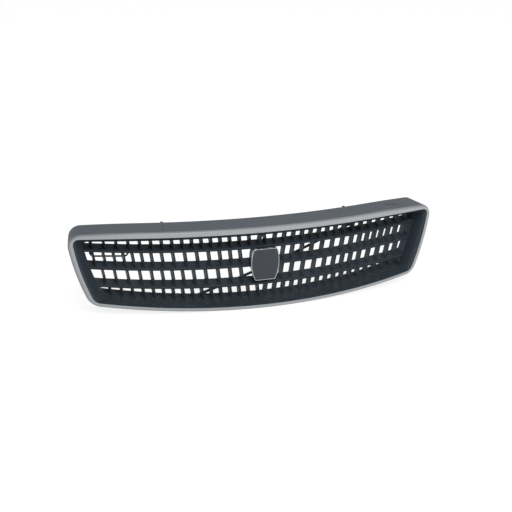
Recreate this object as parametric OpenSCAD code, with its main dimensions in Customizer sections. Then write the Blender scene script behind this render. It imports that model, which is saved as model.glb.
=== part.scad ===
// Front grille for a saloon car: painted surround, bright bezel, louvred insert and badge.
// Millimetres, +Z up. The front faces -Y. The origin is under the middle of the part,
// level with the lowest point of the bottom wall and halfway through its depth.

/* [Surround] */
// Half of the width across the front's top edge
top_half_w = 409; // [390:1:430]
// Height of the top edge's flat middle above the lowest point
height = 180; // [170:1:195]
// Half of the flat middle's width
top_flat = 250; // [230:5:280]
// Radius of the arcs on which the top edge falls at its ends
top_end_r = 1736; // [1500:10:3000]
// How far each side's upper end is drawn in at the rear
draw_in = 13.5; // [4:0.5:15]
// Depth of the walls from the bezel's face to the rear edge
wall_depth = 70.4; // [64:0.2:76]
// Wall thickness
wall = 2.8; // [2:0.1:3.5]
// Radius of the front's curve in plan
plan_r = 1164; // [1050:2:1300]
// Radius of the bowed sides in front view
side_r = 473; // [420:1:540]
// Lean of the sides at the top edge, in degrees
side_lean = 6.2; // [4:0.1:8]
// Radius of the bowed bottom edge in front view
bottom_r = 3049; // [2400:1:4000]
// Outer radius of the two top corners at the front
top_corner_r = 26; // [20:1:30]
// Outer radius of the two top corners at the rear
rear_corner_r = 27; // [20:1:36]
// Outer radius of the two bottom corners
bottom_corner_r = 34; // [30:1:40]

/* [Bezel] */
// Width of the bright lip in front view
lip_w = 11; // [9:0.2:13]
// How far the lip's outer edge rolls back from its face
lip_roll = 5.2; // [4:0.1:6]
// Depth at which the bezel seats on the walls
lip_seat = 6.8; // [6.4:0.1:8]

/* [Louvres] */
// Depth of the louvre noses behind the bezel's face
nose_depth = 26; // [22:0.5:28]
// Depth of the insert's rear face behind the bezel's face
insert_depth = 53.8; // [50:0.2:56]
// Height of the upper nose at the middle
upper_nose_z = 124.4; // [121:0.1:127]
// Height of the middle nose at the middle
middle_nose_z = 85.1; // [82:0.1:88]
// Height of the lower nose at the middle
lower_nose_z = 43.4; // [41:0.1:46]
// Rise of a louvre from its nose to its rear edge
louvre_rise = 12; // [10:0.1:13]
// Height of a louvre's round nose
nose_h = 6.4; // [5:0.1:7]
// Thickness of a louvre at its rear edge
louvre_tail = 2.1; // [1.5:0.1:3]

/* [Ribs] */
// Rib thickness
rib_t = 2; // [1.6:0.1:2.6]
// Depth of the ribs' front edges behind the bezel's face
rib_front = 30; // [29.5:0.5:36]

/* [Badge] */
// Half of the badge's width at its widest place
badge_half_w = 31.5; // [29:0.5:34]
// Height of the badge
badge_h = 70.5; // [66:0.5:74]
// Height of the badge's middle
badge_z = 91.8; // [88:0.1:96]
// Depth of the badge's face behind the bezel's face
badge_depth = 16; // [12:0.5:18]
// Radius of the badge's bulging sides
badge_side_r = 76; // [68:1:90]
// Width of the badge's bright rim
badge_rim = 2.4; // [1.8:0.1:3]

/* [Fixings] */
// Distance of the two top tabs from the middle
tab_x = 204; // [190:1:220]
// Radius of the clearance holes for M6 bolts
bolt_hole_r = 3.25; // [3.1:0.05:3.4]
// Radius of the two lower locating pegs
peg_r = 4; // [3:0.5:5]
// Length of a peg behind its base
peg_l = 12; // [10:1:14]

/* [Hidden] */

$fn = 48;
smooth_fn = 720;
corner_steps = 7;
side_steps = 6;
bottom_steps = 13;
top_steps = 9;
crown_steps = 5;
rib_root = 1.2;

// The plan curve is one arc, moved back along +Y for each layer of depth.
function plan_drop(x) = plan_r - sqrt(plan_r * plan_r - x * x);
function y_at(x, depth) = front_y + plan_drop(x) + depth;

// Radius of the top edge's end arcs: they are flatter further in.
function end_r(inset) = top_end_r * (1 + inset / 12);
function top_drop(x, inset = 0) =
    let (r = end_r(inset), past = max(abs(x) - top_flat, 0))
    r - sqrt(r * r - past * past);

// Centre of the circle that the right side follows; drawing in the top also turns the side upright.
turn_per_mm = 0.2;
function side_centre(draw = 0) =
    let (lean = side_lean - turn_per_mm * draw)
    [top_half_w - draw - side_r * cos(lean), height + side_r * sin(lean)];

// An outline is [top inset, side inset, bottom inset, top corner, bottom corner, bottom radius, draw].
function even_outline(i, draw = 0) =
    let (corner = top_corner_r + (rear_corner_r - top_corner_r) * draw / draw_in)
    [i, i, i, max(corner - i, 3), max(bottom_corner_r - i, 3), bottom_r - i, draw];

// Place where two circles cross, on the left of the way from the first centre to the second.
function crossing(c1, r1, c2, r2) =
    let (
        run = c2 - c1,
        d = norm(run),
        along = (r1 * r1 - r2 * r2 + d * d) / (2 * d),
        across = sqrt(r1 * r1 - along * along)
    )
    c1 + (along * run + across * [-run[1], run[0]]) / d;

function crown_centre(o) = [top_flat, height - o[0] - end_r(o[0])];
function top_corner(o) =
    crossing(side_centre(o[6]), side_r - o[1] - o[3], crown_centre(o), end_r(o[0]) - o[3]);
function bottom_corner(o) =
    crossing([0, o[2] + o[5]], o[5] - o[4], side_centre(o[6]), side_r - o[1] - o[4]);

// The widest place of the rear edge is in its top corners; half of the depth lies before the origin.
rear_half_w = top_corner(even_outline(0, draw_in))[0] + rear_corner_r;
front_y = -(plan_drop(rear_half_w) + wall_depth) / 2;

function arc(c, r, from, to, steps) =
    [for (i = [0:steps]) let (t = from + (to - from) * i / steps) [c[0] + r * cos(t), c[1] + r * sin(t)]];

function inner_steps(points) = [for (i = [1:len(points) - 2]) points[i]];

function direction(from, to) = atan2(to[1] - from[1], to[0] - from[0]);

function half_outline(o) =
    let (
        base = [0, o[2] + o[5]],
        side = side_centre(o[6]),
        crown = crown_centre(o),
        low = bottom_corner(o),
        high = top_corner(o)
    )
    concat(
        arc(base, o[5], -90, direction(base, low), bottom_steps),
        inner_steps(arc(low, o[4], direction(base, low), direction(side, low), corner_steps)),
        arc(side, side_r - o[1], direction(side, low), direction(side, high), side_steps),
        inner_steps(arc(high, o[3], direction(side, high), direction(crown, high), corner_steps)),
        arc(crown, end_r(o[0]), direction(crown, high), 90, crown_steps),
        [for (i = [1:top_steps]) [top_flat * (1 - i / top_steps), height - o[0]]]
    );

function full_outline(o) =
    let (right = half_outline(o), n = len(right))
    concat(right, [for (i = [n - 2:-1:1]) [-right[i][0], right[i][1]]]);

// Prism along Y over a shape drawn in front view.
module front_prism(y_from, y_to) {
    translate([0, y_to, 0])
        rotate([90, 0, 0])
            linear_extrude(height = y_to - y_from)
                children();
}

// Everything behind the plan curve at one depth.
module behind(depth) {
    translate([0, front_y + depth + plan_r, -20])
        cylinder(r = plan_r, h = height + 40, $fn = smooth_fn);
}

// Space between two depths.
module depth_band(from, to) {
    difference() {
        behind(from);
        behind(to);
    }
}

// Closed loop of outlines joined to each other: rows of [outline, depth].
module outline_loop(rows) {
    rings = [for (row = rows) [for (p = full_outline(row[0])) [p[0], y_at(p[0], row[1]), p[1]]]];
    n = len(rings[0]);
    m = len(rings);
    faces = [
        for (j = [0:m - 1])
            for (i = [0:n - 1])
                let (a = j * n + i, b = j * n + (i + 1) % n, c = ((j + 1) % m) * n + i)
                let (d = ((j + 1) % m) * n + (i + 1) % n)
                each [[a, c, b], [b, c, d]]
    ];
    polyhedron(points = [for (ring = rings) each ring], faces = faces, convexity = 10);
}

// ---- surround ----

boss_r = 4.5;
boss_hole_r = 1.5;
boss_from = 36;
flange_t = 2.4;
flange_front = insert_depth - flange_t;
top_boss_z = height - 12.5;
top_boss_xs = [-311, -110, 110, 311];
bottom_boss_xs = [-250, -80, 80, 250];
function bottom_inner_z(x) = x * x / (2 * bottom_r) + wall;
function bottom_boss_z(x) = bottom_inner_z(x) + 6.4;

// A screw boss on a web from the wall; its end meets the insert's flange.
module boss(x, z, wall_z) {
    y = y_at(x, boss_from);
    l = y_at(abs(x) - boss_r, flange_front) - y;
    difference() {
        union() {
            translate([x, y, z])
                rotate([-90, 0, 0])
                    cylinder(r = boss_r, h = l);
            translate([x - 1, y, min(z, wall_z)])
                cube([2, l, abs(wall_z - z)]);
        }
        translate([x, y + 4, z])
            rotate([-90, 0, 0])
                cylinder(r = boss_hole_r, h = l);
    }
}

tab_w = 22;
tab_t = 2.6;
tab_z = height - 10;
tab_hole_depth = wall_depth + 9;
tab_root_depth = wall_depth - 12;
sleeve_r = 5;
nib_w = 5;
nib_l = 7.5;

// A round-ended tab behind the top wall, hung from it by two webs, with a small nib over it.
module top_tab(x) {
    hole_y = y_at(x, tab_hole_depth);
    root_y = y_at(x, tab_root_depth);
    difference() {
        union() {
            translate([x, hole_y, tab_z])
                cylinder(r = tab_w / 2, h = tab_t);
            translate([x - tab_w / 2, root_y, tab_z])
                cube([tab_w, hole_y - root_y, tab_t]);
            for (side = [-1, 1])
                translate([x + side * (tab_w / 2 - 1.2) - 1.2, root_y, tab_z])
                    cube([2.4, 9, height - wall / 2 - tab_z]);
            translate([x - nib_w / 2, y_at(x, wall_depth - 4), height - wall])
                cube([nib_w, nib_l + 4, wall - 0.2]);
        }
        translate([x, hole_y, tab_z - 1])
            cylinder(r = sleeve_r, h = tab_t + 2);
    }
}

peg_x = 230;
peg_z = bottom_inner_z(peg_x) + 7.2;
peg_base_r = 5.5;
peg_base_l = 14;
peg_tip = 2;
function peg_base_y(x) = y_at(x, wall_depth) - peg_base_l;

// A locating peg that points back from a stout base on the bottom wall.
module peg(x) {
    y = peg_base_y(x);
    translate([x, y, peg_z])
        rotate([-90, 0, 0]) {
            cylinder(r = peg_base_r, h = peg_base_l);
            translate([0, 0, peg_base_l])
                rotate_extrude()
                    polygon([
                        [0, -1], [peg_r, -1], [peg_r, peg_l - peg_tip], [peg_r - 1.5, peg_l], [0, peg_l]
                    ]);
        }
    translate([x - 1.25, y, bottom_inner_z(peg_x) - wall / 2])
        cube([2.5, 11, 6]);
}

bracket_x = 368;
bracket_zs = [80, 120];
bracket_y = y_at(bracket_x, wall_depth);

// Outer face of the right side at the rear edge.
function rear_side_x(z) =
    let (c = side_centre(draw_in))
    c[0] + sqrt(side_r * side_r - pow(z - c[1], 2));

// A screw boss beside the side wall, for the side bracket.
module bracket_boss(side, z) {
    l = 14.5;
    web_x = rear_side_x(z) - 0.8;
    difference() {
        union() {
            translate([side * bracket_x, bracket_y - l, z])
                rotate([-90, 0, 0])
                    cylinder(r = boss_r, h = l);
            translate([side > 0 ? bracket_x : -web_x, bracket_y - l, z - 1])
                cube([web_x - bracket_x, l, 2]);
        }
        translate([side * bracket_x, bracket_y - l + 3, z])
            rotate([-90, 0, 0])
                cylinder(r = boss_hole_r, h = l);
    }
}

groove_w = 1;
groove_deep = 0.4;

// Painted walls: a top that falls at its ends, bowed sides that are drawn in, and a bowed bottom.
module surround_shell() {
    color("#5d626a") {
        difference() {
            outline_loop([
                [even_outline(wall), lip_seat],
                [even_outline(wall, draw_in), wall_depth],
                [even_outline(0, draw_in), wall_depth],
                [even_outline(0), lip_seat]
            ]);
            for (side = [-1, 1])
                translate([side * 215, y_at(215, 20), height - groove_deep])
                    rotate([0, 0, side * 15])
                        translate([-groove_w / 2, 0, 0])
                            cube([groove_w, wall_depth, 1]);
        }
        for (x = top_boss_xs)
            boss(x, top_boss_z, height - top_drop(x) - wall / 2);
        for (x = bottom_boss_xs)
            boss(x, bottom_boss_z(x), bottom_inner_z(x) - wall / 2);
        for (side = [-1, 1]) {
            top_tab(side * tab_x);
            peg(side * peg_x);
            for (z = bracket_zs)
                bracket_boss(side, z);
        }
    }
}

// Bright lip: a thin open section that rolls from the walls over a quarter ellipse to a flat face.
roll_w = 7;
roll_steps = 5;
skin_steps = 3;
skin = 2.4;
lip_rear = lip_seat - 0.1;
tongue_xs = [-330, -190, -50, 50, 190, 330];
tongue_w = 12;
tongue_l = 11;
tongue_t = 1.2;
tongue_gap = 0.2;
tongue_root = 4;
tongue_bury = 1.2;
// The lip is widest along the top and narrowest along the bottom: shares for top, sides and bottom.
lip_shares = [1.12, 0.94, 0.77];
// Its inner corners are sharper than an even width would make them.
function lip_outline(i) =
    let (corner_loss = 1.3 * i)
    concat(lip_shares * i, [top_corner_r - corner_loss, bottom_corner_r - corner_loss, bottom_r - i, 0]);
function roll_at(t, w, d, i) = [lip_outline(i + w * (1 - cos(t))), lip_roll - d * sin(t)];

// A snap tongue inside the walls; its root joins the lip's outer skin.
module tongue(x, low_z, high_z) {
    y = y_at(x, tongue_root);
    upper = high_z > height / 2;
    translate([x - tongue_w / 2, y, low_z])
        cube([tongue_w, y_at(abs(x) - tongue_w / 2, lip_rear) - y, high_z - low_z + (upper ? 0 : tongue_t)]);
    translate([x - tongue_w / 2, y, upper ? low_z : high_z])
        cube([tongue_w, tongue_l, tongue_t]);
}

module bezel_trim() {
    outside = concat(
        [for (i = [0:roll_steps]) roll_at(90 * i / roll_steps, roll_w, lip_roll, 0)],
        [[lip_outline(lip_w - 1.3), 0.1], [lip_outline(lip_w - 0.3), 0.7], [lip_outline(lip_w), 2],
         [lip_outline(lip_w - 2.5), lip_rear], [lip_outline(lip_w - 2.5 - skin), lip_rear]]
    );
    inside = [
        for (i = [skin_steps:-1:0])
            roll_at(90 * i / skin_steps, roll_w - skin + 0.6, lip_roll - skin, skin)
    ];
    rear = [[lip_outline(skin), lip_rear], [lip_outline(0), lip_rear]];
    color("#a1a5a7") {
        outline_loop(concat(outside, inside, rear));
        for (x = tongue_xs) {
            far_x = abs(x) + tongue_w / 2;
            top_z = height - top_drop(far_x);
            tongue(x, top_z - wall - tongue_gap - tongue_t, top_z - tongue_bury);
            tongue(x, bottom_inner_z(x) - wall + tongue_bury, bottom_inner_z(far_x) + tongue_gap);
        }
    }
}

// ---- insert ----

row_top_inset = 25.8;
cheek_inset = 32.5;
cheek_rear_inset = 34;
cheek_cut_inset = 31.45;
funnel_front_inset = 11.2;
ledge_front_inset = lip_shares[2] * funnel_front_inset;
ledge_rear_inset = 21.3;
ledge_rear_r = 2490;
ledge_slope = (ledge_rear_inset - ledge_front_inset) / (insert_depth - 2.3);
knee_depth = 27;
ledge_knee_inset = ledge_front_inset + ledge_slope * (knee_depth - 2.3);
ledge_knee_r = 2750;
flange_draw = draw_in * (insert_depth - lip_seat) / (wall_depth - lip_seat) + 0.4;
pad_r = 4.6;
screw_hole_r = 2.1;
pilot_r = 1.5;
// Screws that hold the insert: four into the top bosses and four into the bottom ones.
screw_places = concat(
    [for (x = top_boss_xs) [x, top_boss_z]],
    [for (x = bottom_boss_xs) [x, bottom_boss_z(x)]]
);
// Ends of the slanting brace behind the insert.
brace_ends = [[-149, 15.5], [267.6, 163.5]];

module along_y(x, y, z, r, length) {
    translate([x, y, z])
        rotate([-90, 0, 0])
            cylinder(r = r, h = length);
}

// Moulded funnel from the bezel's inner edge back to the ribs, with a flange behind.
module insert_funnel() {
    flange = even_outline(3.4, flange_draw);
    top = row_top_inset;
    knee = ledge_knee_inset;
    rear = ledge_rear_inset;
    outline_loop([
        [lip_outline(funnel_front_inset), 2.3],
        [[top, cheek_inset, knee, 8, 14, ledge_knee_r, 0], knee_depth],
        [[top, cheek_rear_inset, rear, 8, 12, ledge_rear_r, 0], insert_depth],
        [flange, insert_depth],
        [flange, flange_front],
        [[top - 2.3, cheek_rear_inset - 2.8, rear - 2.4, 9, 14, ledge_rear_r, 0], flange_front],
        [[top - 2.3, cheek_inset - 2.5, knee - 2.4, 9, 16, ledge_knee_r, 0], knee_depth + 1.5],
        [lip_outline(9.9), 5.3]
    ]);
}

// Height of a screw head's flat seat behind the flange.
function pad_y(x, depth) = y_at(abs(x) + pad_r, depth);

module insert_frame() {
    color("#343a41")
        difference() {
            union() {
                insert_funnel();
                for (s = screw_places)
                    along_y(s[0], y_at(abs(s[0]) - pad_r, flange_front + 1), s[1], pad_r,
                            pad_y(s[0], insert_depth) - y_at(abs(s[0]) - pad_r, flange_front + 1));
            }
            for (s = screw_places)
                along_y(s[0], y_at(s[0], flange_front) - 5, s[1], screw_hole_r, 14);
            for (end = brace_ends)
                along_y(end[0], y_at(end[0], flange_front) - 5, end[1], pilot_r, 14);
            loop_hooks(loop_r + 0.1);
        }
}

// A louvre is [nose height, tilt of its plane in degrees].
louvres = [[upper_nose_z, 6.2], [middle_nose_z, 7.9], [lower_nose_z, 11.8]];
nose_r = nose_h / 2;
tail_run = insert_depth - nose_depth;

// Height that a louvre's tilted plane gains at one distance from the middle.
function tilt_gain(i, x) = tan(louvres[i][1]) * x * x / (2 * plan_r);
function louvre_top(i, x, depth) =
    louvres[i][0] + tilt_gain(i, x) + nose_h
    + (louvre_rise - nose_h) * (depth - nose_depth - nose_r) / (tail_run - nose_r);
function louvre_under(i, x, depth) =
    louvres[i][0] + tilt_gain(i, x)
    + (louvre_rise - louvre_tail) * (depth - nose_depth - nose_r) / (tail_run - nose_r);

// One louvre: a nosed blade turned about a tilted upright axis, cut off at the cheeks.
module louvre(i) {
    tilt = louvres[i][1];
    r = plan_r * cos(tilt);
    blade = concat(
        [for (t = [90:22.5:270]) [nose_r + nose_r * cos(t), nose_r + nose_r * sin(t)]],
        [[tail_run, louvre_rise - louvre_tail], [tail_run, louvre_rise]]
    );
    turned = [for (p = blade) [r - p[0] * cos(tilt) - p[1] * sin(tilt), p[1] * cos(tilt) - p[0] * sin(tilt)]];
    intersection() {
        translate([0, front_y + nose_depth, louvres[i][0]])
            rotate([tilt, 0, 0])
                translate([0, r, 0])
                    rotate([0, 0, -111])
                        rotate_extrude(angle = 42, $fn = smooth_fn)
                            polygon(turned);
        between_sides(cheek_cut_inset);
    }
}

// Space between the two bowed sides, inset.
module between_sides(inset) {
    c = side_centre();
    intersection_for (side = [-1, 1])
        front_prism(-200, 200)
            translate([side * c[0], c[1]])
                circle(r = side_r - inset, $fn = smooth_fn);
}

module louvre_upper() {
    color("#343a41")
        difference() {
            louvre(0);
            insert_funnel();
        }
}

// The middle louvre is cut through by the badge's boss.
module louvre_middle() {
    color("#343a41")
        difference() {
            louvre(1);
            insert_funnel();
            badge_prism(neck_inset, 0, front_y, carrier_rear_y + 10);
        }
}

module louvre_lower() {
    color("#343a41")
        difference() {
            louvre(2);
            insert_funnel();
        }
}

// Ribs of each row: x = first + pitch k + swing sin(phase + step k) + drift k^2, k = 0, 1, 2...
// Row settings are [first, pitch, swing, phase, step, drift, count].
rib_rows = [
    [16.3, 23.07, 13.5, 115.4, 13.52, 0, 16],
    [49, 23.6, -4.35, 18.5, 34.4, -0.138, 15],
    [47.8, 24, -3.17, 67.5, 46.9, -0.061, 13],
    [31, 18.6, 2.19, 331.3, 24.7, 0.145, 15]
];
function rib_x(row, k) =
    let (s = rib_rows[row])
    s[0] + s[1] * k + s[2] * sin(s[3] + s[4] * k) + s[5] * k * k;
function rib_lean(x) = atan(0.14 + 0.1 * pow(x / 390, 2));
function ledge_top(x, depth) =
    ledge_front_inset + ledge_slope * (depth - 2.3)
    + x * x / 2 * (1 / bottom_r + (1 / ledge_rear_r - 1 / bottom_r) * (depth - 2.3) / (insert_depth - 2.3));
function rib_floor(row, x, depth) = (row < 3 ? louvre_top(row, x, depth) : ledge_top(x, depth)) - rib_root;
function rib_ceiling(row, x, depth) =
    (row > 0 ? louvre_under(row - 1, x, depth) : height - row_top_inset - top_drop(x, row_top_inset))
    + rib_root;

// One rib plate, leaning outwards at the top by its own angle, with its roots inside its neighbours.
module rib(row, x, lean) {
    rear = insert_depth - 0.2;
    foot = rib_floor(row, x, rib_front);
    head = rib_ceiling(row, x, rib_front);
    mid = (foot + head) / 2;
    translate([x, y_at(x, 0), mid])
        rotate([0, lean, 0])
            rotate([90, 0, 90])
                linear_extrude(height = rib_t, center = true)
                    polygon([
                        [rib_front, foot - mid],
                        [rear, rib_floor(row, x, rear) - mid],
                        [rear, rib_ceiling(row, x, rear) - mid],
                        [rib_front, head - mid]
                    ]);
}

// A row of ribs cut to the louvres or the frame that they join; pair_lean is for a pair at +-pair_x.
module rib_row(row, pair_x, pair_lean) {
    color("#2f353b")
        difference() {
            union() {
                for (k = [0:rib_rows[row][6] - 1])
                    for (side = [-1, 1])
                        rib(row, side * rib_x(row, k), side * rib_lean(rib_x(row, k)));
                if (pair_x > 0)
                    for (side = [-1, 1])
                        rib(row, side * pair_x, side * pair_lean);
            }
            if (row > 0)
                louvre(row - 1);
            if (row < 3)
                louvre(row);
            if (row == 0 || row == 3)
                insert_funnel();
        }
}

// Row under the top edge; its two middle ribs lean towards each other.
module rib_row_1() {
    rib_row(0, 5.5, -10);
}

module rib_row_2() {
    rib_row(1, 0, 0);
}

module rib_row_3() {
    rib_row(2, 0, 0);
}

// Row over the bottom ledge; its two middle ribs make a V.
module rib_row_4() {
    rib_row(3, 9, 9);
}

// ---- badge ----

// Barrel outline: flat ends, sides that bulge most a little above the middle, and small corners.
badge_waist = 7;
badge_top_corner_r = 6.5;
badge_low_corner_r = 3.5;
badge_cx = badge_half_w - badge_side_r;

// One corner, [x, z, radius, direction from the side's centre]: end is 1 at the top and -1 below,
// i is the inset, and tall moves the two ends out.
function badge_corner(end, i, tall) =
    let (
        r = max((end > 0 ? badge_top_corner_r : badge_low_corner_r) - i, 0.8),
        z = end * (badge_h / 2 - i + tall - r),
        x = badge_cx + sqrt(pow(badge_side_r - i - r, 2) - pow(z - badge_waist, 2))
    )
    [x, z, r, atan2(z - badge_waist, x - badge_cx)];
function badge_outline(i, tall) =
    let (
        low = badge_corner(-1, i, tall),
        high = badge_corner(1, i, tall),
        right = concat(
            arc(low, low[2], -90, low[3], 4),
            inner_steps(arc([badge_cx, badge_waist], badge_side_r - i, low[3], high[3], 12)),
            arc(high, high[2], high[3], 90, 4)
        )
    )
    concat(right, [for (k = [len(right) - 1:-1:0]) [-right[k][0], right[k][1]]]);

badge_face_y = front_y + badge_depth;
badge_t = 4.5;
plate_t = 2;
dome_r = 280;
push_nut_r = 5;
carrier_face_y = badge_face_y + badge_t;
carrier_rear_y = front_y + insert_depth - 1;
stud_z = 20;
stud_r = 2;

neck_inset = 7;
neck_wall = 2.5;
neck_tall = 10;
neck_step_y = carrier_face_y + 9;

module badge_prism(inset, tall, y_from, y_to) {
    translate([0, 0, badge_z])
        front_prism(y_from, y_to)
            polygon(badge_outline(inset, tall));
}

// Hollow boss between the louvres, with a plate in front that carries the badge.
module badge_carrier() {
    bore = neck_inset + neck_wall;
    color("#2f353b")
        difference() {
            union() {
                badge_prism(0.6, 0, carrier_face_y, carrier_face_y + 4.1);
                badge_prism(neck_inset, 0, carrier_face_y + 4, neck_step_y + 1);
                badge_prism(neck_inset, neck_tall, neck_step_y, carrier_rear_y);
            }
            louvre(0);
            louvre(2);
            badge_prism(bore, 0, carrier_face_y + 2.5, neck_step_y + 2);
            badge_prism(bore, neck_tall, neck_step_y + 1, carrier_rear_y + 1);
            for (side = [-1, 1])
                translate([0, carrier_face_y - 1, badge_z + side * stud_z])
                    rotate([-90, 0, 0])
                        cylinder(r = stud_r + 0.2, h = 5);
        }
}

// Bright rim around the badge.
module badge_bezel() {
    color("#9aa1aa")
        difference() {
            badge_prism(0, 0, badge_face_y, carrier_face_y);
            badge_prism(badge_rim, 0, badge_face_y - 1, carrier_face_y + 1);
        }
}

// Plain dark plate with a slightly domed face inside the rim, and two studs behind.
module badge_plate() {
    color("#3f4650") {
        intersection() {
            badge_prism(badge_rim + 0.05, 0, badge_face_y, carrier_face_y);
            translate([0, badge_face_y + 0.3 + dome_r, 0])
                cylinder(r = dome_r, h = 2 * badge_z, $fn = smooth_fn);
        }
        for (side = [-1, 1])
            translate([0, carrier_face_y - plate_t, badge_z + side * stud_z])
                rotate([-90, 0, 0])
                    cylinder(r = stud_r, h = plate_t + 9);
    }
}

// Spring washers pushed over the badge's studs.
module badge_push_nuts() {
    color("#8f9499")
        for (side = [-1, 1])
            translate([0, carrier_face_y + 2.5, badge_z + side * stud_z])
                rotate([-90, 0, 0])
                    difference() {
                        cylinder(r = push_nut_r, h = 1);
                        translate([0, 0, -1])
                            cylinder(r = stud_r + 0.02, h = 3);
                    }
}

// ---- rear ----

brace_w = 5;
brace_eye_r = 5;
brace_from = insert_depth + 0.1;
brace_to = insert_depth + 4.5;

// Slanting flat brace across the back of the insert, with a screw eye at each end.
module diagonal_brace() {
    run = brace_ends[1] - brace_ends[0];
    color("#14171b")
        difference() {
            intersection() {
                front_prism(front_y, -front_y + 20) {
                    translate(brace_ends[0])
                        rotate(atan2(run[1], run[0]))
                            translate([0, -brace_w / 2])
                                square([norm(run), brace_w]);
                    for (end = brace_ends)
                        translate(end)
                            circle(r = brace_eye_r);
                }
                depth_band(brace_from, brace_to);
            }
            for (end = brace_ends)
                along_y(end[0], y_at(end[0], brace_from) - 5, end[1], screw_hole_r, 20);
        }
}

loop_r = 1.9;
loop_x = -315;
loop_half_w = 39.5;
loop_low_z = 112.4;
loop_top_z = 165;
loop_bend_r = 9;
loop_depth = insert_depth + 4;
hook_bend_r = 3;
hook_l = 6;

module at_loop() {
    translate([loop_x, y_at(loop_x, loop_depth), 0])
        rotate([0, 0, asin(loop_x / plan_r)])
            children();
}

// The loop's two ends, which hook through the flange.
module loop_hooks(r) {
    at_loop()
        for (side = [-1, 1])
            translate([side * loop_half_w, -hook_bend_r, loop_top_z])
                rotate([90, 0, 0])
                    cylinder(r = r, h = hook_l);
}

module wire_bend(r) {
    rotate_extrude(angle = 90)
        translate([r, 0])
            circle(r = loop_r);
}

// U-shaped wire behind the left end of the insert.
module rear_loop() {
    straight = loop_half_w - loop_bend_r;
    color("#101317") {
        loop_hooks(loop_r);
        at_loop() {
            translate([-straight, 0, loop_low_z])
                rotate([0, 90, 0])
                    cylinder(r = loop_r, h = 2 * straight);
            for (side = [-1, 1]) {
                translate([side * loop_half_w, 0, loop_low_z + loop_bend_r])
                    cylinder(r = loop_r, h = loop_top_z - loop_low_z - loop_bend_r - hook_bend_r);
                translate([side * loop_half_w, -hook_bend_r, loop_top_z - hook_bend_r])
                    rotate([90, 0, 90])
                        wire_bend(hook_bend_r);
                translate([side * straight, 0, loop_low_z + loop_bend_r])
                    rotate([90, 0, 0])
                        rotate([0, 0, side > 0 ? -90 : 180])
                            wire_bend(loop_bend_r);
            }
        }
    }
}

bracket_t = 2;
bracket_r = 7;
bracket_hole_z = (bracket_zs[0] + bracket_zs[1]) / 2;

// Flat steel brackets at both ends: round-ended strips with a bolt hole between their two screws.
module side_brackets() {
    color("#7d8287")
        for (side = [-1, 1])
            difference() {
                front_prism(bracket_y, bracket_y + bracket_t)
                    difference() {
                        union() {
                            for (z = bracket_zs)
                                translate([side * bracket_x, z])
                                    circle(r = bracket_r);
                            translate([side * bracket_x - bracket_r, bracket_zs[0]])
                                square([2 * bracket_r, bracket_zs[1] - bracket_zs[0]]);
                        }
                        for (z = bracket_zs)
                            translate([side * bracket_x, z])
                                circle(r = 2.2);
                    }
                along_y(side * bracket_x, bracket_y - 1, bracket_hole_z, bolt_hole_r, bracket_t + 2);
            }
}

// Pan-head self-tapping screw whose head seats at the origin and faces +Y.
screw_r = 1.45;
module screw(length) {
    rotate([-90, 0, 0]) {
        cylinder(r = 3.8, h = 1.6);
        translate([0, 0, 1.6])
            cylinder(r1 = 3.8, r2 = 2.6, h = 0.9);
        translate([0, 0, -length])
            cylinder(r = screw_r, h = length);
    }
}

module bracket_screws() {
    color("#8f9499")
        for (side = [-1, 1])
            for (z = bracket_zs)
                translate([side * bracket_x, bracket_y + bracket_t, z])
                    screw(12);
}

module insert_screws() {
    color("#8f9499")
        for (s = screw_places)
            translate([s[0], pad_y(s[0], insert_depth), s[1]])
                screw(14);
}

module brace_screws() {
    color("#8f9499")
        for (end = brace_ends)
            translate([end[0], y_at(abs(end[0]) + 4, brace_to), end[1]])
                screw(9);
}

// Steel sleeves pressed into the top tabs, which take the bolts' clamping load.
module top_sleeves() {
    color("#8f9499")
        for (side = [-1, 1])
            translate([side * tab_x, y_at(tab_x, tab_hole_depth), tab_z - 1])
                difference() {
                    union() {
                        cylinder(r = sleeve_r, h = tab_t + 1.2);
                        cylinder(r = sleeve_r + 2, h = 1);
                    }
                    translate([0, 0, -1])
                        cylinder(r = bolt_hole_r, h = tab_t + 4);
                }
}

// Spring clips over the bottom wall's rear edge.
clip_xs = [-320, -115, 115, 320];
clip_w = 16;
clip_t = 0.8;
module lower_clips() {
    color("#6f7478")
        for (x = clip_xs) {
            wall_z = x * x / (2 * bottom_r);
            lean = asin(x / bottom_r);
            translate([x, y_at(abs(x) + clip_w / 2, wall_depth), wall_z])
                rotate([0, -lean, 0])
                    translate([-clip_w / 2, 0, 0])
                        rotate([90, 0, 90])
                            linear_extrude(height = clip_w)
                                polygon([
                                    [-10, -0.05], [0.3, -0.05], [0.3, wall + 0.1], [-12, wall + 0.1],
                                    [-14, wall + 2], [-14, wall + 3], [-11.4, wall + 0.1 + clip_t],
                                    [0.3 + clip_t, wall + 0.1 + clip_t], [0.3 + clip_t, -0.05 - clip_t],
                                    [-10, -0.05 - clip_t]
                                ]);
        }
}

surround_shell();
bezel_trim();
insert_frame();
louvre_upper();
louvre_middle();
louvre_lower();
rib_row_1();
rib_row_2();
rib_row_3();
rib_row_4();
badge_carrier();
badge_bezel();
badge_plate();
badge_push_nuts();
diagonal_brace();
rear_loop();
side_brackets();
bracket_screws();
insert_screws();
brace_screws();
top_sleeves();
lower_clips();
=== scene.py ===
"""The looks of a saloon car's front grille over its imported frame: painted walls, a satin silver lip,
a louvred and ribbed dark insert, and a bare badge on its boss. Lengths are millimetres until a mesh is
made, and the part's own frame is kept: +X right, -Y out of the front, +Z up."""

import math

import bpy
import numpy as np
from mathutils import Matrix, Vector


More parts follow.
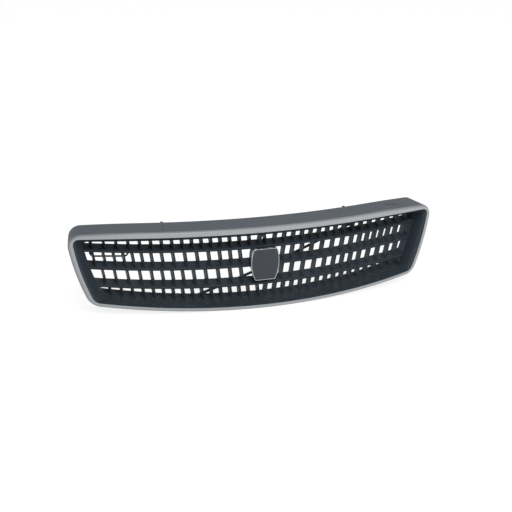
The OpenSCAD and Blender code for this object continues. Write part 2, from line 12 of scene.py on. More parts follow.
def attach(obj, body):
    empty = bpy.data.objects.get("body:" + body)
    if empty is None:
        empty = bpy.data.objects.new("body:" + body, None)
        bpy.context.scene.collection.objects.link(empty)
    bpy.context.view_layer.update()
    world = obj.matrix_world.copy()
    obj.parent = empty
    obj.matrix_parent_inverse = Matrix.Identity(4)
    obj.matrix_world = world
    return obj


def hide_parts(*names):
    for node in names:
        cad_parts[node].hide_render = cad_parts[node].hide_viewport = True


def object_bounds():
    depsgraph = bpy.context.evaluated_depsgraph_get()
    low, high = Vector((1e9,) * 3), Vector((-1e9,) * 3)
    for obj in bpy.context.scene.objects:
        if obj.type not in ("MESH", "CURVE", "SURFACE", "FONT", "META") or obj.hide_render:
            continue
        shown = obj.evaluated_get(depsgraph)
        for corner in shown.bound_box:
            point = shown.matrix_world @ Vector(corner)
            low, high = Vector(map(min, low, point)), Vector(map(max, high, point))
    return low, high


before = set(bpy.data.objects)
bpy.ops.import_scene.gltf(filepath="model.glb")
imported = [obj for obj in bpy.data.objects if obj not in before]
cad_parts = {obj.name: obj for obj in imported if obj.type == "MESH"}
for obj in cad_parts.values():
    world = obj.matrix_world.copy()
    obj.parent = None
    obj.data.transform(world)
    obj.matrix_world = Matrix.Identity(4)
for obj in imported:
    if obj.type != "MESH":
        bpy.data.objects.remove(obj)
cad_low, cad_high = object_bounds()

MM = 0.001

# ---- dimensions, in millimetres -------------------------------------------------------------------

FRONT_Y = cad_low.y / MM
HEIGHT = 180.0
PLAN_R = 1164.0
SIDE_R = 473.0
SIDE_LEAN = math.radians(6.2)
TOP_HALF_W = 409.0
BOTTOM_R = 3049.0
TOP_CORNER = 26.0
BOTTOM_CORNER = 34.0
TOP_FLAT = 250.0
TOP_END_R = 1736.0
DRAW_IN = 13.5
REAR_CORNER = 27.0
LEAN_PER_MM = math.radians(0.2)
WALL = 2.8
WALL_DEPTH = 70.4
LIP_W = 11.0
LIP_SHARES = (1.12, 0.94, 0.77)
LIP_ROLL = 5.2
ROLL_W = 7.0
LIP_SEAT = 6.8
SKIN = 2.4
INSIDE = 0.06  # keeps these finer arcs inside the chords of the CAD's outline

INSERT_DEPTH = 53.8
FUNNEL_FRONT = 2.3
FUNNEL_INSET = 11.2
FLANGE_FRONT = INSERT_DEPTH - 2.4
KNEE_DEPTH = 27.0
CHEEK_INSET = 32.5
CHEEK_REAR_INSET = 34.0
ROW_TOP_INSET = 25.8
LEDGE_FRONT_INSET = LIP_SHARES[2] * FUNNEL_INSET
FLANGE_DRAW = DRAW_IN * (INSERT_DEPTH - LIP_SEAT) / (WALL_DEPTH - LIP_SEAT) + 0.4
LEDGE_REAR_INSET = 21.3
LEDGE_REAR_R = 2490.0
LEDGE_KNEE_R = 2750.0
LEDGE_SLOPE = (LEDGE_REAR_INSET - LEDGE_FRONT_INSET) / (INSERT_DEPTH - FUNNEL_FRONT)

NOSE_DEPTH = 26.0
NOSE_H = 6.4
LOUVRE_RISE = 12.0
LOUVRE_TAIL = 2.1
LOUVRE_Z = np.array([124.4, 85.1, 43.4])
LOUVRE_TILT = np.radians([6.2, 7.9, 11.8])

RIB_FRONT = 30.0
RIB_T = 2.5
RIB_MID_DEPTH = 42.0  # where a rib's x and the middle of its lean are stated
RIB_FAR_X = 390.0  # where a rib leans most
MIDDLE_LOUVRE_START = 23.0

BADGE_HALF_W = 31.5
BADGE_H = 70.5
BADGE_Z = 91.8
BADGE_DEPTH = 16.0
BADGE_SIDE_R = 88.0
BADGE_WAIST = 4.5
BADGE_CORNERS = (6.5, 3.5)
BADGE_T = 4.5
RIM_W = 2.4
NECK_INSET = 7.0
NECK_TALL = 10.0
CARRIER_REAR = INSERT_DEPTH - 1.0


# ---- curves ---------------------------------------------------------------------------------------


def plan_drop(x):
    """How far the plan curve falls back at x: one arc of radius PLAN_R."""
    return PLAN_R - np.sqrt(PLAN_R**2 - np.square(x))


def y_at(x, depth):
    """Y of the surface that lies at one depth behind the lip's face."""
    return FRONT_Y + plan_drop(x) + depth


def arc(centre, radius, start, end, count):
    """Points on a circle from one angle to another, both ends included."""
    t = np.linspace(start, end, count)
    return np.stack([centre[0] + radius * np.cos(t), centre[1] + radius * np.sin(t)], -1)


def side_circle(draw):
    """Centre of the circle that a bowed side follows where the top is drawn in by so much."""
    lean = SIDE_LEAN - draw * LEAN_PER_MM
    return TOP_HALF_W - draw - SIDE_R * math.cos(lean), HEIGHT + SIDE_R * math.sin(lean)


def crown_r(inset):
    """Radius of the arcs at the top edge's ends; further in they are flatter."""
    return TOP_END_R * (1 + inset / 12)


def top_drop(x, inset=0.0):
    """How far the top edge falls towards its ends: flat in the middle, then one long arc."""
    beyond = np.maximum(np.abs(x) - TOP_FLAT, 0)
    return crown_r(inset) - np.sqrt(crown_r(inset) ** 2 - np.square(beyond))


def even(inset, draw):
    """Outline row with the same inset all round: top, side, bottom, two corner radii, bottom radius, and
    how far the upper ends are drawn in."""
    top_corner = TOP_CORNER + (REAR_CORNER - TOP_CORNER) * draw / DRAW_IN
    corners = [max(top_corner - inset, 3), max(BOTTOM_CORNER - inset, 3)]
    return [inset, inset, inset, *corners, BOTTOM_R - inset, draw]


def lip_row(inset):
    """Outline row inside the lip, which is widest along the top and narrowest along the bottom; its
    corners grow sharper inwards than an even width would make them."""
    corners = [TOP_CORNER - 1.3 * inset, BOTTOM_CORNER - 1.3 * inset]
    return [inset * share for share in LIP_SHARES] + corners + [BOTTOM_R - inset, 0]


def crossing(first, r1, second, r2, side):
    """Where two circles cross; side picks one of the two places."""
    dx, dz = second[0] - first[0], second[1] - first[1]
    d = math.hypot(dx, dz)
    along = (r1**2 - r2**2 + d**2) / (2 * d)
    across = side * math.sqrt(r1**2 - along**2)
    return first[0] + (along * dx - across * dz) / d, first[1] + (along * dz + across * dx) / d


def outline(row):
    """Closed front-view loop of (x, z): a bowed base, two bowed sides and a top that falls at its ends,
    with round corners. Every loop has as many points as any other, so that loops join one to one."""
    top, side, bottom, top_r, low_r, base_r, draw = row[:7]
    side_r, end_r = SIDE_R - side - INSIDE, crown_r(top)
    base, flank, crown = (0, bottom + base_r), side_circle(draw), (TOP_FLAT, HEIGHT - top - end_r)
    low = crossing(base, base_r - low_r, flank, side_r - low_r, 1)
    high = crossing(flank, side_r - top_r, crown, end_r - top_r, 1)

    def towards(start, end):
        return math.atan2(end[1] - start[1], end[0] - start[0])

    right = np.concatenate([
        arc(base, base_r, -math.pi / 2, towards(base, low), 49),
        arc(low, low_r, towards(base, low), towards(flank, low), 17)[1:],
        arc(flank, side_r, towards(flank, low), towards(flank, high), 25)[1:],
        arc(high, top_r, towards(flank, high), towards(crown, high), 17)[1:],
        arc(crown, end_r, towards(crown, high), math.pi / 2, 17)[1:],
        np.stack([np.linspace(TOP_FLAT, 0, 33), np.full(33, HEIGHT - top)], -1)[1:],
    ])
    left = right[-2:0:-1] * [-1, 1]
    return np.concatenate([right, left])


def soften(rows, radius, closed=True):
    """Rounds the corners of a profile. A row is any list of numbers whose second is the side inset and
    whose last is the depth; near a corner the rows follow a quadratic curve between its two edges."""
    rows = np.array(rows, float)
    radius = np.broadcast_to(radius, len(rows))
    count = len(rows)
    out = []
    for i, row in enumerate(rows):
        if radius[i] == 0 or (not closed and i in (0, count - 1)):
            out.append(row)
            continue
        before, after = rows[i - 1], rows[(i + 1) % count]
        reach = [np.hypot(*(p - row)[[1, -1]]) for p in (before, after)]
        start, end = (row + (p - row) * min(radius[i] / d, 0.48) for p, d in zip((before, after), reach))
        for t in np.linspace(0, 1, 5):
            out.append((1 - t) ** 2 * start + 2 * t * (1 - t) * row + t**2 * end)
    return np.array(out)


def sweep(rows):
    """Grid of points (profile row, place round the outline, xyz)."""
    loops = [outline(row) for row in rows]
    return np.array([
        np.stack([p[:, 0], y_at(p[:, 0], row[-1]), p[:, 1]], -1) for p, row in zip(loops, rows)
    ])


# ---- meshes ---------------------------------------------------------------------------------------

CREASE = math.radians(40)
CAD_CREASE = math.radians(35)


class Piece:
    """Collects closed skins into one mesh, and turns each so that its faces point outwards."""

    def __init__(self):
        self.points, self.quads, self.caps, self.total = [], [], [], 0

    def grid(self, points, ring=False):
        """Joins a (rows, columns, 3) array of points, whose columns go round. In a ring the rows go round
        too; otherwise one face closes each end row."""
        points = np.asarray(points, float)
        m, n = points.shape[:2]
        rows = np.arange(m if ring else m - 1)[:, None]
        cols = np.arange(n)[None, :]
        a, b = rows * n + cols, rows * n + (cols + 1) % n
        c, d = ((rows + 1) % m) * n + (cols + 1) % n, ((rows + 1) % m) * n + cols
        quads = np.stack([a, b, c, d], -1).reshape(-1, 4)
        caps = [] if ring else [np.arange(n)[::-1], np.arange(n) + (m - 1) * n]
        flat = points.reshape(-1, 3)
        if self._volume(flat, quads, caps) < 0:
            quads, caps = quads[:, ::-1], [cap[::-1] for cap in caps]
        self.quads.append(quads + self.total)
        self.caps += [cap + self.total for cap in caps]
        self.points.append(flat)
        self.total += len(flat)
        return self

    @staticmethod
    def _volume(points, quads, caps):
        """Six times the signed volume inside the faces, by the divergence theorem."""
        p = points - points.mean(0)
        a, b, c, d = (p[quads[:, i]] for i in range(4))
        total = np.einsum("ij,ij->", a, np.cross(b, c)) + np.einsum("ij,ij->", a, np.cross(c, d))
        for cap in caps:
            q = p[cap]
            fan = np.cross(q[1:-1], q[2:])
            total += np.einsum("j,ij->", q[0], fan)
        return total

    def make(self, name, material, slot, *replaced):
        """Makes the object in metres, shades it smooth, and lets it stand for the nodes it replaces."""
        points = np.concatenate(self.points) * MM
        quads = np.concatenate(self.quads)
        sizes = np.concatenate([np.full(len(quads), 4), [len(cap) for cap in self.caps]]).astype(np.int32)
        mesh = bpy.data.meshes.new(name)
        mesh.vertices.add(len(points))
        mesh.vertices.foreach_set("co", points.astype(np.float32).ravel())
        corners = np.concatenate([quads.ravel(), *self.caps]).astype(np.int32)
        mesh.loops.add(len(corners))
        mesh.loops.foreach_set("vertex_index", corners)
        mesh.polygons.add(len(sizes))
        starts = np.concatenate([[0], np.cumsum(sizes)[:-1]]).astype(np.int32)
        mesh.polygons.foreach_set("loop_start", starts)
        mesh.update(calc_edges=True)
        mesh.validate()
        mesh.shade_smooth()
        mesh.set_sharp_from_angle(angle=CREASE)
        thing = bpy.data.objects.new(name, mesh)
        bpy.context.scene.collection.objects.link(thing)
        mesh.materials.append(material)
        weigh = thing.modifiers.new("normals", "WEIGHTED_NORMAL")
        weigh.keep_sharp = True
        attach(thing, "root")
        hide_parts(*replaced)


def turned(centre, profile, count):
    """Profile of (radius, y) turned about a line along Y: a (profile, angle, xyz) grid."""
    t = np.linspace(0, 2 * np.pi, count, endpoint=False)
    r, s = (np.array(v, float)[:, None] for v in zip(*profile))
    return np.stack([r * np.cos(t), s + 0 * t, r * np.sin(t)], -1) + np.array(centre, float)


def block(low, high):
    """Box with rounded upright edges, as a grid of four rows over its rounded plan."""
    chamfer = 0.3
    low, high = np.minimum(low, high).astype(float), np.maximum(low, high).astype(float)
    t = np.linspace(0, 2 * np.pi, 16, endpoint=False) + np.pi / 16
    turn = np.stack([np.cos(t), np.sin(t)], -1)
    mid, half = (low + high)[:2] / 2, (high - low)[:2] / 2 - chamfer
    plan = mid + np.sign(turn) * half + turn * chamfer
    pulled = mid + np.sign(turn) * half
    levels = [(low[2], pulled), (low[2] + chamfer, plan), (high[2] - chamfer, plan), (high[2], pulled)]
    return np.array([np.column_stack([p, np.full(16, z)]) for z, p in levels])


# ---- materials ------------------------------------------------------------------------------------


class Value:
    """A number or colour on a node tree; the usual operators add Math nodes."""

    def __init__(self, nodes, socket):
        self.nodes, self.socket = nodes, socket

    def _math(self, operation, *inputs):
        return self.nodes.node("Math", {"operation": operation}, *inputs)

    def __add__(self, other):
        return self._math("ADD", self, other)

    def __sub__(self, other):
        return self._math("SUBTRACT", self, other)

    def __rsub__(self, other):
        return self._math("SUBTRACT", other, self)

    def __mul__(self, other):
        return self._math("MULTIPLY", self, other)

    def __truediv__(self, other):
        return self._math("DIVIDE", self, other)

    def __rtruediv__(self, other):
        return self._math("DIVIDE", other, self)

    def __abs__(self):
        return self._math("ABSOLUTE", self)

    def above(self, low, high):
        """0 below low, 1 above high, and a smooth step between. Low may be the larger of the two."""
        settings = {"interpolation_type": "SMOOTHSTEP"}
        return self.nodes.node("MapRange", settings, Value=self, From_Min=low, From_Max=high)

    __radd__, __rmul__ = __add__, __mul__


class Nodes:
    """A node tree, and the one method that adds a node to it."""

    def __init__(self, tree):
        self.tree = tree

    def node(self, kind, settings=None, *inputs, output=0, **named):
        """Adds a ShaderNode of one kind: its settings first, then its inputs by order or by name."""
        made = self.tree.nodes.new("ShaderNode" + kind)
        for key, value in (settings or {}).items():
            setattr(made, key, value)
        given = list(enumerate(inputs)) + [(key.replace("_", " "), value) for key, value in named.items()]
        for key, value in given:
            if isinstance(value, Value):
                self.tree.links.new(value.socket, made.inputs[key])
            elif value is not None:
                made.inputs[key].default_value = value
        return Value(self, made.outputs[output])


class Shader(Nodes):
    """One material: its Principled BSDF, the place on the object, and noise and colours over it."""

    def __init__(self, name, **fixed):
        self.material = bpy.data.materials.new(name)
        self.material.use_nodes = True
        super().__init__(self.material.node_tree)
        self.bsdf = self.tree.nodes["Principled BSDF"]
        self.place = self.node("TexCoord", output="Object")
        self.x, self.y, self.z = (self.node("SeparateXYZ", None, self.place, output=i) for i in range(3))
        for key, value in fixed.items():
            self.bsdf.inputs[key.replace("_", " ")].default_value = value

    def noise(self, scale, detail=3.0, rough=0.55, stretch=None):
        """Noise in features of about 1 / scale metres, optionally stretched along the axes."""
        where = self.place
        if stretch:
            where = self.node("Mapping", None, self.place, Scale=stretch)
        return self.node("TexNoise", None, Vector=where, Scale=scale, Detail=detail, Roughness=rough)

    def mix(self, factor, first, second):
        """Colour from first to second by factor. A Mix node's colours are its inputs 6 and 7."""
        unused = [None] * 5
        return self.node("Mix", {"data_type": "RGBA"}, factor, *unused, first, second, output=2)

    def finish(self, colour, roughness, height, depth, strength):
        """Links the colour, the roughness and a bump of so many metres, and returns the material."""
        bump = self.node("Bump", None, Strength=strength, Distance=depth, Height=height)
        for key, value in {"Base Color": colour, "Roughness": roughness, "Normal": bump}.items():
            self.tree.links.new(value.socket, self.bsdf.inputs[key])
        return self.material


def srgb(red, green, blue):
    """Linear colour of the written 0-255 colour, with its alpha of 1."""
    c = np.array([red, green, blue]) / 255
    return (*(float(v) for v in np.where(c > 0.04045, ((c + 0.055) / 1.055) ** 2.4, c / 12.92)), 1.0)


WITNESS_X = 201.0  # where the lines meet the top wall's rear edge
WITNESS_SPLAY = 0.29
SINK_X, SINK_DEPTH = 311.0, 38.0


def witness_line(shader):
    """1 on the two faint lines that a sliding tool part leaves on the top wall, splaying to the front."""
    rear_y = y_at(WITNESS_X, WALL_DEPTH) * MM
    centre = (rear_y - shader.y) * WITNESS_SPLAY + WITNESS_X * MM
    line = abs(abs(shader.x) - centre).above(0.0017, 0.0007)
    return line * shader.z.above(0.17, 0.179)


def facing(shader, axis):
    """Share of the surface's normal along x, y or z, for axis 0, 1 or 2."""
    normal = shader.node("NewGeometry", output="Normal")
    return shader.node("SeparateXYZ", None, normal, output=axis)


def upward(shader, low=0.2, high=0.95):
    """1 where the surface faces up, 0 where it faces down or sideways."""
    return facing(shader, 2).above(low, high)


def depth_behind_lip(shader):
    """Depth in metres behind the lip's face; the plan arc is taken by its first two powers."""
    x2 = shader.x * shader.x
    return shader.y - FRONT_Y * MM - x2 / (2 * PLAN_R * MM) * (x2 / (2 * PLAN_R * MM) ** 2 + 1.0)


def forward(shader, low, high):
    """1 where the surface faces the front, 0 where it faces up, down or sideways."""
    return (0.0 - facing(shader, 1)).above(low, high)


def wall_paint():
    """Blue-grey satin paint with orange peel, fine flake, a little dust, and sinks over the end bosses, of
    which the right one shows as a dark mark."""
    s = Shader("wall_paint", Specular_IOR_Level=0.16)
    cloud = s.noise(14.0, 4.0)
    flake = s.noise(2600.0, 1.0, 0.4)
    sink_x = abs(abs(s.x) - SINK_X * MM) / 0.016
    sink_y = (s.y - (y_at(SINK_X, SINK_DEPTH) * MM)) / 0.01
    sink = (sink_x * sink_x + sink_y * sink_y).above(1.25, 0.75) * s.z.above(0.17, 0.178)
    mark = s.x.above(0.0, 0.1) * sink
    tone = s.mix(cloud, srgb(61, 69, 78), srgb(69, 77, 86))
    tone = s.mix(flake.above(0.62, 0.75) * 0.3, tone, srgb(106, 115, 124))
    tone = s.mix(witness_line(s) * 0.8, tone, srgb(50, 55, 61))
    tone = s.mix(mark * 0.9, tone, srgb(44, 49, 56))
    tone = s.mix(s.noise(55.0, 6.0, 0.7).above(0.6, 0.8) * upward(s) * 0.1, tone, srgb(130, 132, 130))
    peel = s.noise(420.0, 2.0, 0.5) - sink * 0.5
    rough = cloud * 0.14 + 0.4
    return s.finish(tone, rough, peel, 0.00012, 0.35)


def lip_silver():
    """Satin silver lacquer with fine bright flake and small scuffs along the front. Painted shade makes it
    darker on top, and a darker grey is painted in as shade where the lip turns away from the front."""
    s = Shader("lip_silver", Metallic=0.1, Specular_IOR_Level=0.4, Coat_Weight=0.1, Coat_Roughness=0.4)
    cloud = s.noise(18.0, 4.0)
    flake = s.noise(3200.0, 1.0, 0.4)
    scuff = s.noise(300.0, 5.0, 0.7, (0.15, 1.0, 1.0)).above(0.66, 0.74)
    tone = s.mix(cloud, srgb(161, 165, 168), srgb(172, 176, 178))
    tone = s.mix(flake.above(0.6, 0.72) * 0.3, tone, srgb(196, 199, 201))
    tone = s.mix(scuff * 0.18, tone, srgb(112, 114, 115))
    tone = s.mix(witness_line(s) * 0.12, tone, srgb(90, 93, 96))
    # painted shade: the lip is darkened where it faces up
    tone = s.mix(upward(s, -0.05, 0.7) * 0.75, tone, srgb(124, 128, 131))
    # painted shade: a darker grey where the lip turns away from the front, mixed in by how little it faces
    # forward
    painted = s.mix(cloud, srgb(92, 97, 103), srgb(100, 105, 110))
    tone = s.mix(forward(s, 0.1, 0.95), painted, tone)
    return s.finish(tone, cloud * 0.1 + scuff * 0.12 + 0.34, s.noise(500.0, 2.0), 0.00008, 0.3)


def insert_plastic():
    """Dark blue-grey moulded plastic with a fine spark-eroded grain, flow marks and dust on its tops. The
    ribs' sides are lightened with painted light, most of all below the first row; the cheeks have a
    painted highlight at the lip and painted shade inwards; and a painted shadow lies deep under the top
    wall."""
    s = Shader("insert_plastic", Specular_IOR_Level=0.14, Specular_Tint=(0.8, 0.92, 1.0, 1))
    cloud = s.noise(26.0, 5.0, 0.6)
    grain = s.noise(1500.0, 2.0, 0.6)
    flow = s.noise(60.0, 4.0, 0.6, (0.25, 1.0, 2.2))
    dust = s.noise(90.0, 6.0, 0.72).above(0.42, 0.75) * upward(s)
    tone = s.mix(cloud, srgb(40, 47, 54), srgb(49, 57, 64))
    tone = s.mix(flow.above(0.5, 0.75) * 0.3, tone, srgb(55, 63, 70))
    tone = s.mix(dust * 0.25, tone, srgb(96, 102, 106))
    depth = depth_behind_lip(s)
    sideways = abs(facing(s, 0))
    ribs = sideways.above(0.8, 0.9) * depth.above(0.012, 0.016)
    # painted light: the ribs' sides are lightened, most of all below the first row
    rib_side_light = ribs * (s.z.above(0.14, 0.115) * 0.35 + 0.3)
    tone = s.mix(rib_side_light, tone, srgb(82, 94, 103))
    slanting = sideways.above(0.2, 0.45) * sideways.above(0.9, 0.8)
    cheek = slanting * depth.above(0.043, 0.04) * abs(s.x).above(0.29, 0.31)
    # painted highlight: the cheeks are lighter within about a centimetre of the lip
    tone = s.mix(cheek * depth.above(0.012, 0.003) * 0.5, tone, srgb(78, 86, 93))
    # painted shade: the cheeks darken inwards from the lip, far more on the right one
    cheek_shade = cheek * depth.above(0.006, 0.022) * s.x.above(-0.4, 0.1) * 0.85
    tone = s.mix(cheek_shade, tone, srgb(27, 34, 42))
    # painted shade: darkest in the upper part of the right cheek, under the top wall
    corner = cheek_shade * s.z.above(0.128, 0.154) * s.x.above(0.0, 0.1)
    tone = s.mix(corner * 0.8, tone, srgb(12, 16, 20))
    # painted shadow of the top wall over the deep parts of the first row and the upper louvre
    top_row_shade = depth.above(0.027, 0.046) * s.z.above(0.116, 0.14) * forward(s, -0.3, 0.1)
    tone = s.mix(top_row_shade * 0.8, tone, srgb(15, 19, 23))
    rough = grain * 0.12 + cloud * 0.1 + 0.42
    return s.finish(tone, rough, grain, 0.00012, 0.45)


def badge_chrome():
    """Bright plated rim with soft polish lines."""
    s = Shader("badge_chrome", Metallic=1.0)
    haze = s.noise(70.0, 4.0, 0.6)
    lines = s.noise(900.0, 3.0, 0.6, (1.0, 1.0, 0.1))
    tone = s.mix(haze, srgb(176, 182, 190), srgb(204, 209, 214))
    return s.finish(tone, haze * 0.12 + lines * 0.08 + 0.12, lines, 0.00003, 0.2)


def badge_field():
    """Dark navy-grey enamel under a clear dome, with faint cloud and fine dust."""
    s = Shader("badge_field", Roughness=0.4, Coat_Weight=0.35, Coat_Roughness=0.12)
    cloud = s.noise(45.0, 4.0, 0.6)
    specks = s.noise(1100.0, 2.0, 0.6).above(0.72, 0.8)
    tone = s.mix(cloud, srgb(20, 30, 40), srgb(32, 42, 52))
    tone = s.mix(specks * 0.3, tone, srgb(120, 124, 128))
    return s.finish(tone, cloud * 0.12 + 0.36, s.noise(240.0, 2.0), 0.00005, 0.25)


def black_moulding():
    """Unpainted black plastic bar with a moulded grain and pale rub marks."""
    s = Shader("black_moulding")
    grain = s.noise(1300.0, 2.0, 0.6)
    rub = s.noise(120.0, 5.0, 0.7, (0.3, 1.0, 1.0)).above(0.6, 0.78)
    tone = s.mix(grain, srgb(17, 19, 22), srgb(27, 29, 32))
    return s.finish(s.mix(rub * 0.35, tone, srgb(64, 67, 70)), rub * 0.15 + 0.5, grain, 0.0001, 0.4)


def black_wire():
    """Black dipped wire with small runs in the coating."""
    s = Shader("black_wire", Coat_Weight=0.3)
    runs = s.noise(260.0, 4.0, 0.6, (1.0, 1.0, 0.35))
    tone = s.mix(runs, srgb(15, 17, 20), srgb(30, 32, 35))
    return s.finish(tone, runs * 0.25 + 0.3, runs, 0.0001, 0.5)


def zinc_plate():
    """Zinc-plated steel: cloudy, slightly yellow in places, with fine rolling lines."""
    s = Shader("zinc_plate", Metallic=1.0)
    cloud = s.noise(120.0, 5.0, 0.65)
    lines = s.noise(700.0, 3.0, 0.6, (1.0, 0.2, 1.0))
    tone = s.mix(cloud, srgb(168, 171, 174), srgb(196, 194, 184))
    tone = s.mix(s.noise(240.0, 6.0, 0.75).above(0.62, 0.76) * 0.5, tone, srgb(128, 120, 104))
    return s.finish(tone, cloud * 0.2 + lines * 0.1 + 0.22, lines, 0.00005, 0.3)


def spring_phosphate():
    """Dark phosphated spring steel with worn bright edges."""
    s = Shader("spring_phosphate", Metallic=1.0)
    cloud = s.noise(150.0, 5.0, 0.65)
    tone = s.mix(cloud, srgb(92, 93, 95), srgb(122, 122, 121))
    tone = s.mix(s.noise(320.0, 5.0, 0.7).above(0.66, 0.74) * 0.6, tone, srgb(168, 167, 164))
    return s.finish(tone, cloud * 0.25 + 0.32, s.noise(800.0, 3.0), 0.00006, 0.35)


# ---- surround -------------------------------------------------------------------------------------

BOSS_R = 4.5
BOSS_HOLE_R = 1.5
BOSS_FROM = 36.0
TOP_BOSS_X = (-311, -110, 110, 311)
BOTTOM_BOSS_X = (-250, -80, 80, 250)
TOP_BOSS_Z = HEIGHT - 12.5
TAB_X, TAB_W, TAB_T, TAB_Z = 204.0, 22.0, 2.6, HEIGHT - 10
TAB_HOLE_R = 5.0
NIB_HALF_W = 2.5
PEG_X, PEG_R, PEG_L, PEG_BASE_R, PEG_BASE_L = 230.0, 4.0, 12.0, 5.5, 14.0
PEG_RISE = 7.2  # from the bottom wall's top to the peg's axis
BRACKET_X = 368.0
BRACKET_Z = (80, 120)
BRACKET_BOSS_L = 14.5
BRACKET_T = 2.0
BRACKET_Y = y_at(BRACKET_X, WALL_DEPTH)


def base_z(x):
    """Top of the bottom wall at x."""
    return x * x / (2 * BOTTOM_R) + WALL


def side_x(z, draw=0.0):
    """Outer face of the right wall at height z."""
    cx, cz = side_circle(draw)
    return cx + np.sqrt(SIDE_R**2 - np.square(z - cz))


def screw_places():
    """(x, z) of the eight screws that hold the insert."""
    low = [(x, base_z(x) + 6.4) for x in BOTTOM_BOSS_X]
    return [(x, TOP_BOSS_Z) for x in TOP_BOSS_X] + low


def boss_tube(x, z, y0, y1, floor_depth=4.0):
    """Round boss along Y with a blind screw hole from its rear end and soft rims."""
    r, h, e = BOSS_R, BOSS_HOLE_R, 0.4
    profile = [
        (0.01, y0), (r - e, y0), (r, y0 + e), (r, y1 - e), (r - e, y1), (h + e, y1), (h, y1 - e),
        (h, y0 + floor_depth), (0.01, y0 + floor_depth),
    ]
    return turned((x, 0, z), profile, 32)


def make_surround(material):
    """The walls as a swept wall section, with the bosses, tabs, nibs and pegs that are moulded on them."""
    piece = Piece()
    front, rear = (0.0, LIP_SEAT), (DRAW_IN, WALL_DEPTH)
    section = [even(i, draw) + [d] for i, (draw, d) in ((0, front), (0, rear), (WALL, rear), (WALL, front))]
    piece.grid(sweep(soften(section, [0.3, 0.9, 0.9, 0.3])), ring=True)
    for x, z in screw_places():
        y0, y1 = y_at(x, BOSS_FROM), y_at(abs(x) - BOSS_R, FLANGE_FRONT)
        piece.grid(boss_tube(x, z, y0, y1))
        wall_z = HEIGHT - top_drop(x) - WALL / 2 if z > HEIGHT / 2 else base_z(x) - WALL / 2
        piece.grid(block((x - 1, y0, z), (x + 1, y1, wall_z)))
    for side in (-1, 1):
        make_tab(piece, side * TAB_X)
        make_peg(piece, side * PEG_X)
        for z in BRACKET_Z:
            root_y = BRACKET_Y - BRACKET_BOSS_L
            piece.grid(boss_tube(side * BRACKET_X, z, root_y, BRACKET_Y, 3.0))
            wall_x = side * (side_x(z, DRAW_IN) - 0.8)
            web = block((side * BRACKET_X, root_y, z - 1), (wall_x, BRACKET_Y, z + 1))
            piece.grid(web)
    piece.make("surround_walls", material, "painted_wall", "surround_shell")


def make_tab(piece, x):
    """Round-ended tab with a hole for its sleeve, two webs and the small nib above it."""
    hole_y, root_y = y_at(x, WALL_DEPTH + 9), y_at(x, WALL_DEPTH - 12)
    t = np.linspace(0, 2 * np.pi, 64, endpoint=False)
    ring = np.stack([np.cos(t), np.sin(t)], -1)
    stadium = ring * TAB_W / 2
    square = np.clip(ring * TAB_W, -TAB_W / 2, TAB_W / 2)
    stadium[ring[:, 1] < 0] = square[ring[:, 1] < 0]
    stadium[ring[:, 1] < 0, 1] *= (hole_y - root_y) / (TAB_W / 2)
    e = 0.4
    hole, mouth = ring * TAB_HOLE_R, ring * (TAB_HOLE_R + e)
    rows = [
        (hole, e), (hole, TAB_T - e), (mouth, TAB_T), (stadium * 0.97, TAB_T),
        (stadium, TAB_T - e), (stadium, e), (stadium * 0.97, 0), (mouth, 0),
    ]
    grid = [np.column_stack([p[:, 0] + x, p[:, 1] + hole_y, np.full(64, TAB_Z + z)]) for p, z in rows]
    piece.grid(grid, ring=True)
    for side in (-1, 1):
        web_x = x + side * (TAB_W / 2 - 1.2)
        web = block((web_x - 1.2, root_y, TAB_Z), (web_x + 1.2, root_y + 9, HEIGHT - WALL / 2))
        piece.grid(web)
    nib_low = (x - NIB_HALF_W, y_at(x, WALL_DEPTH - 4), HEIGHT - WALL)
    nib_high = (x + NIB_HALF_W, y_at(x, WALL_DEPTH + 7.5), HEIGHT - 0.2)
    piece.grid(block(nib_low, nib_high))


def make_peg(piece, x):
    """Locating peg with a stout base, a chamfered tip and a web to the bottom wall."""
    y, floor = y_at(x, WALL_DEPTH) - PEG_BASE_L, base_z(PEG_X)
    end = PEG_BASE_L + PEG_L
    profile = [
        (0.01, 0), (PEG_BASE_R - 0.4, 0), (PEG_BASE_R, 0.4), (PEG_BASE_R, PEG_BASE_L - 0.5),
        (PEG_BASE_R - 0.5, PEG_BASE_L), (PEG_R + 0.4, PEG_BASE_L), (PEG_R, PEG_BASE_L + 0.4),
        (PEG_R, end - 2.1), (PEG_R - 0.2, end - 1.8), (PEG_R - 1.4, end - 0.2), (PEG_R - 1.7, end),
        (0.01, end),
    ]
    piece.grid(turned((x, y, floor + PEG_RISE), profile, 36))
    web_low = (x - 1.25, y, floor - WALL / 2)
    piece.grid(block(web_low, (x + 1.25, y + 11, floor - WALL / 2 + 6)))


# ---- lip ------------------------------------------------------------------------------------------

TONGUE_X = (-330, -190, -50, 50, 190, 330)
TONGUE_HALF_W, TONGUE_L, TONGUE_T = 6, 11, 1.2


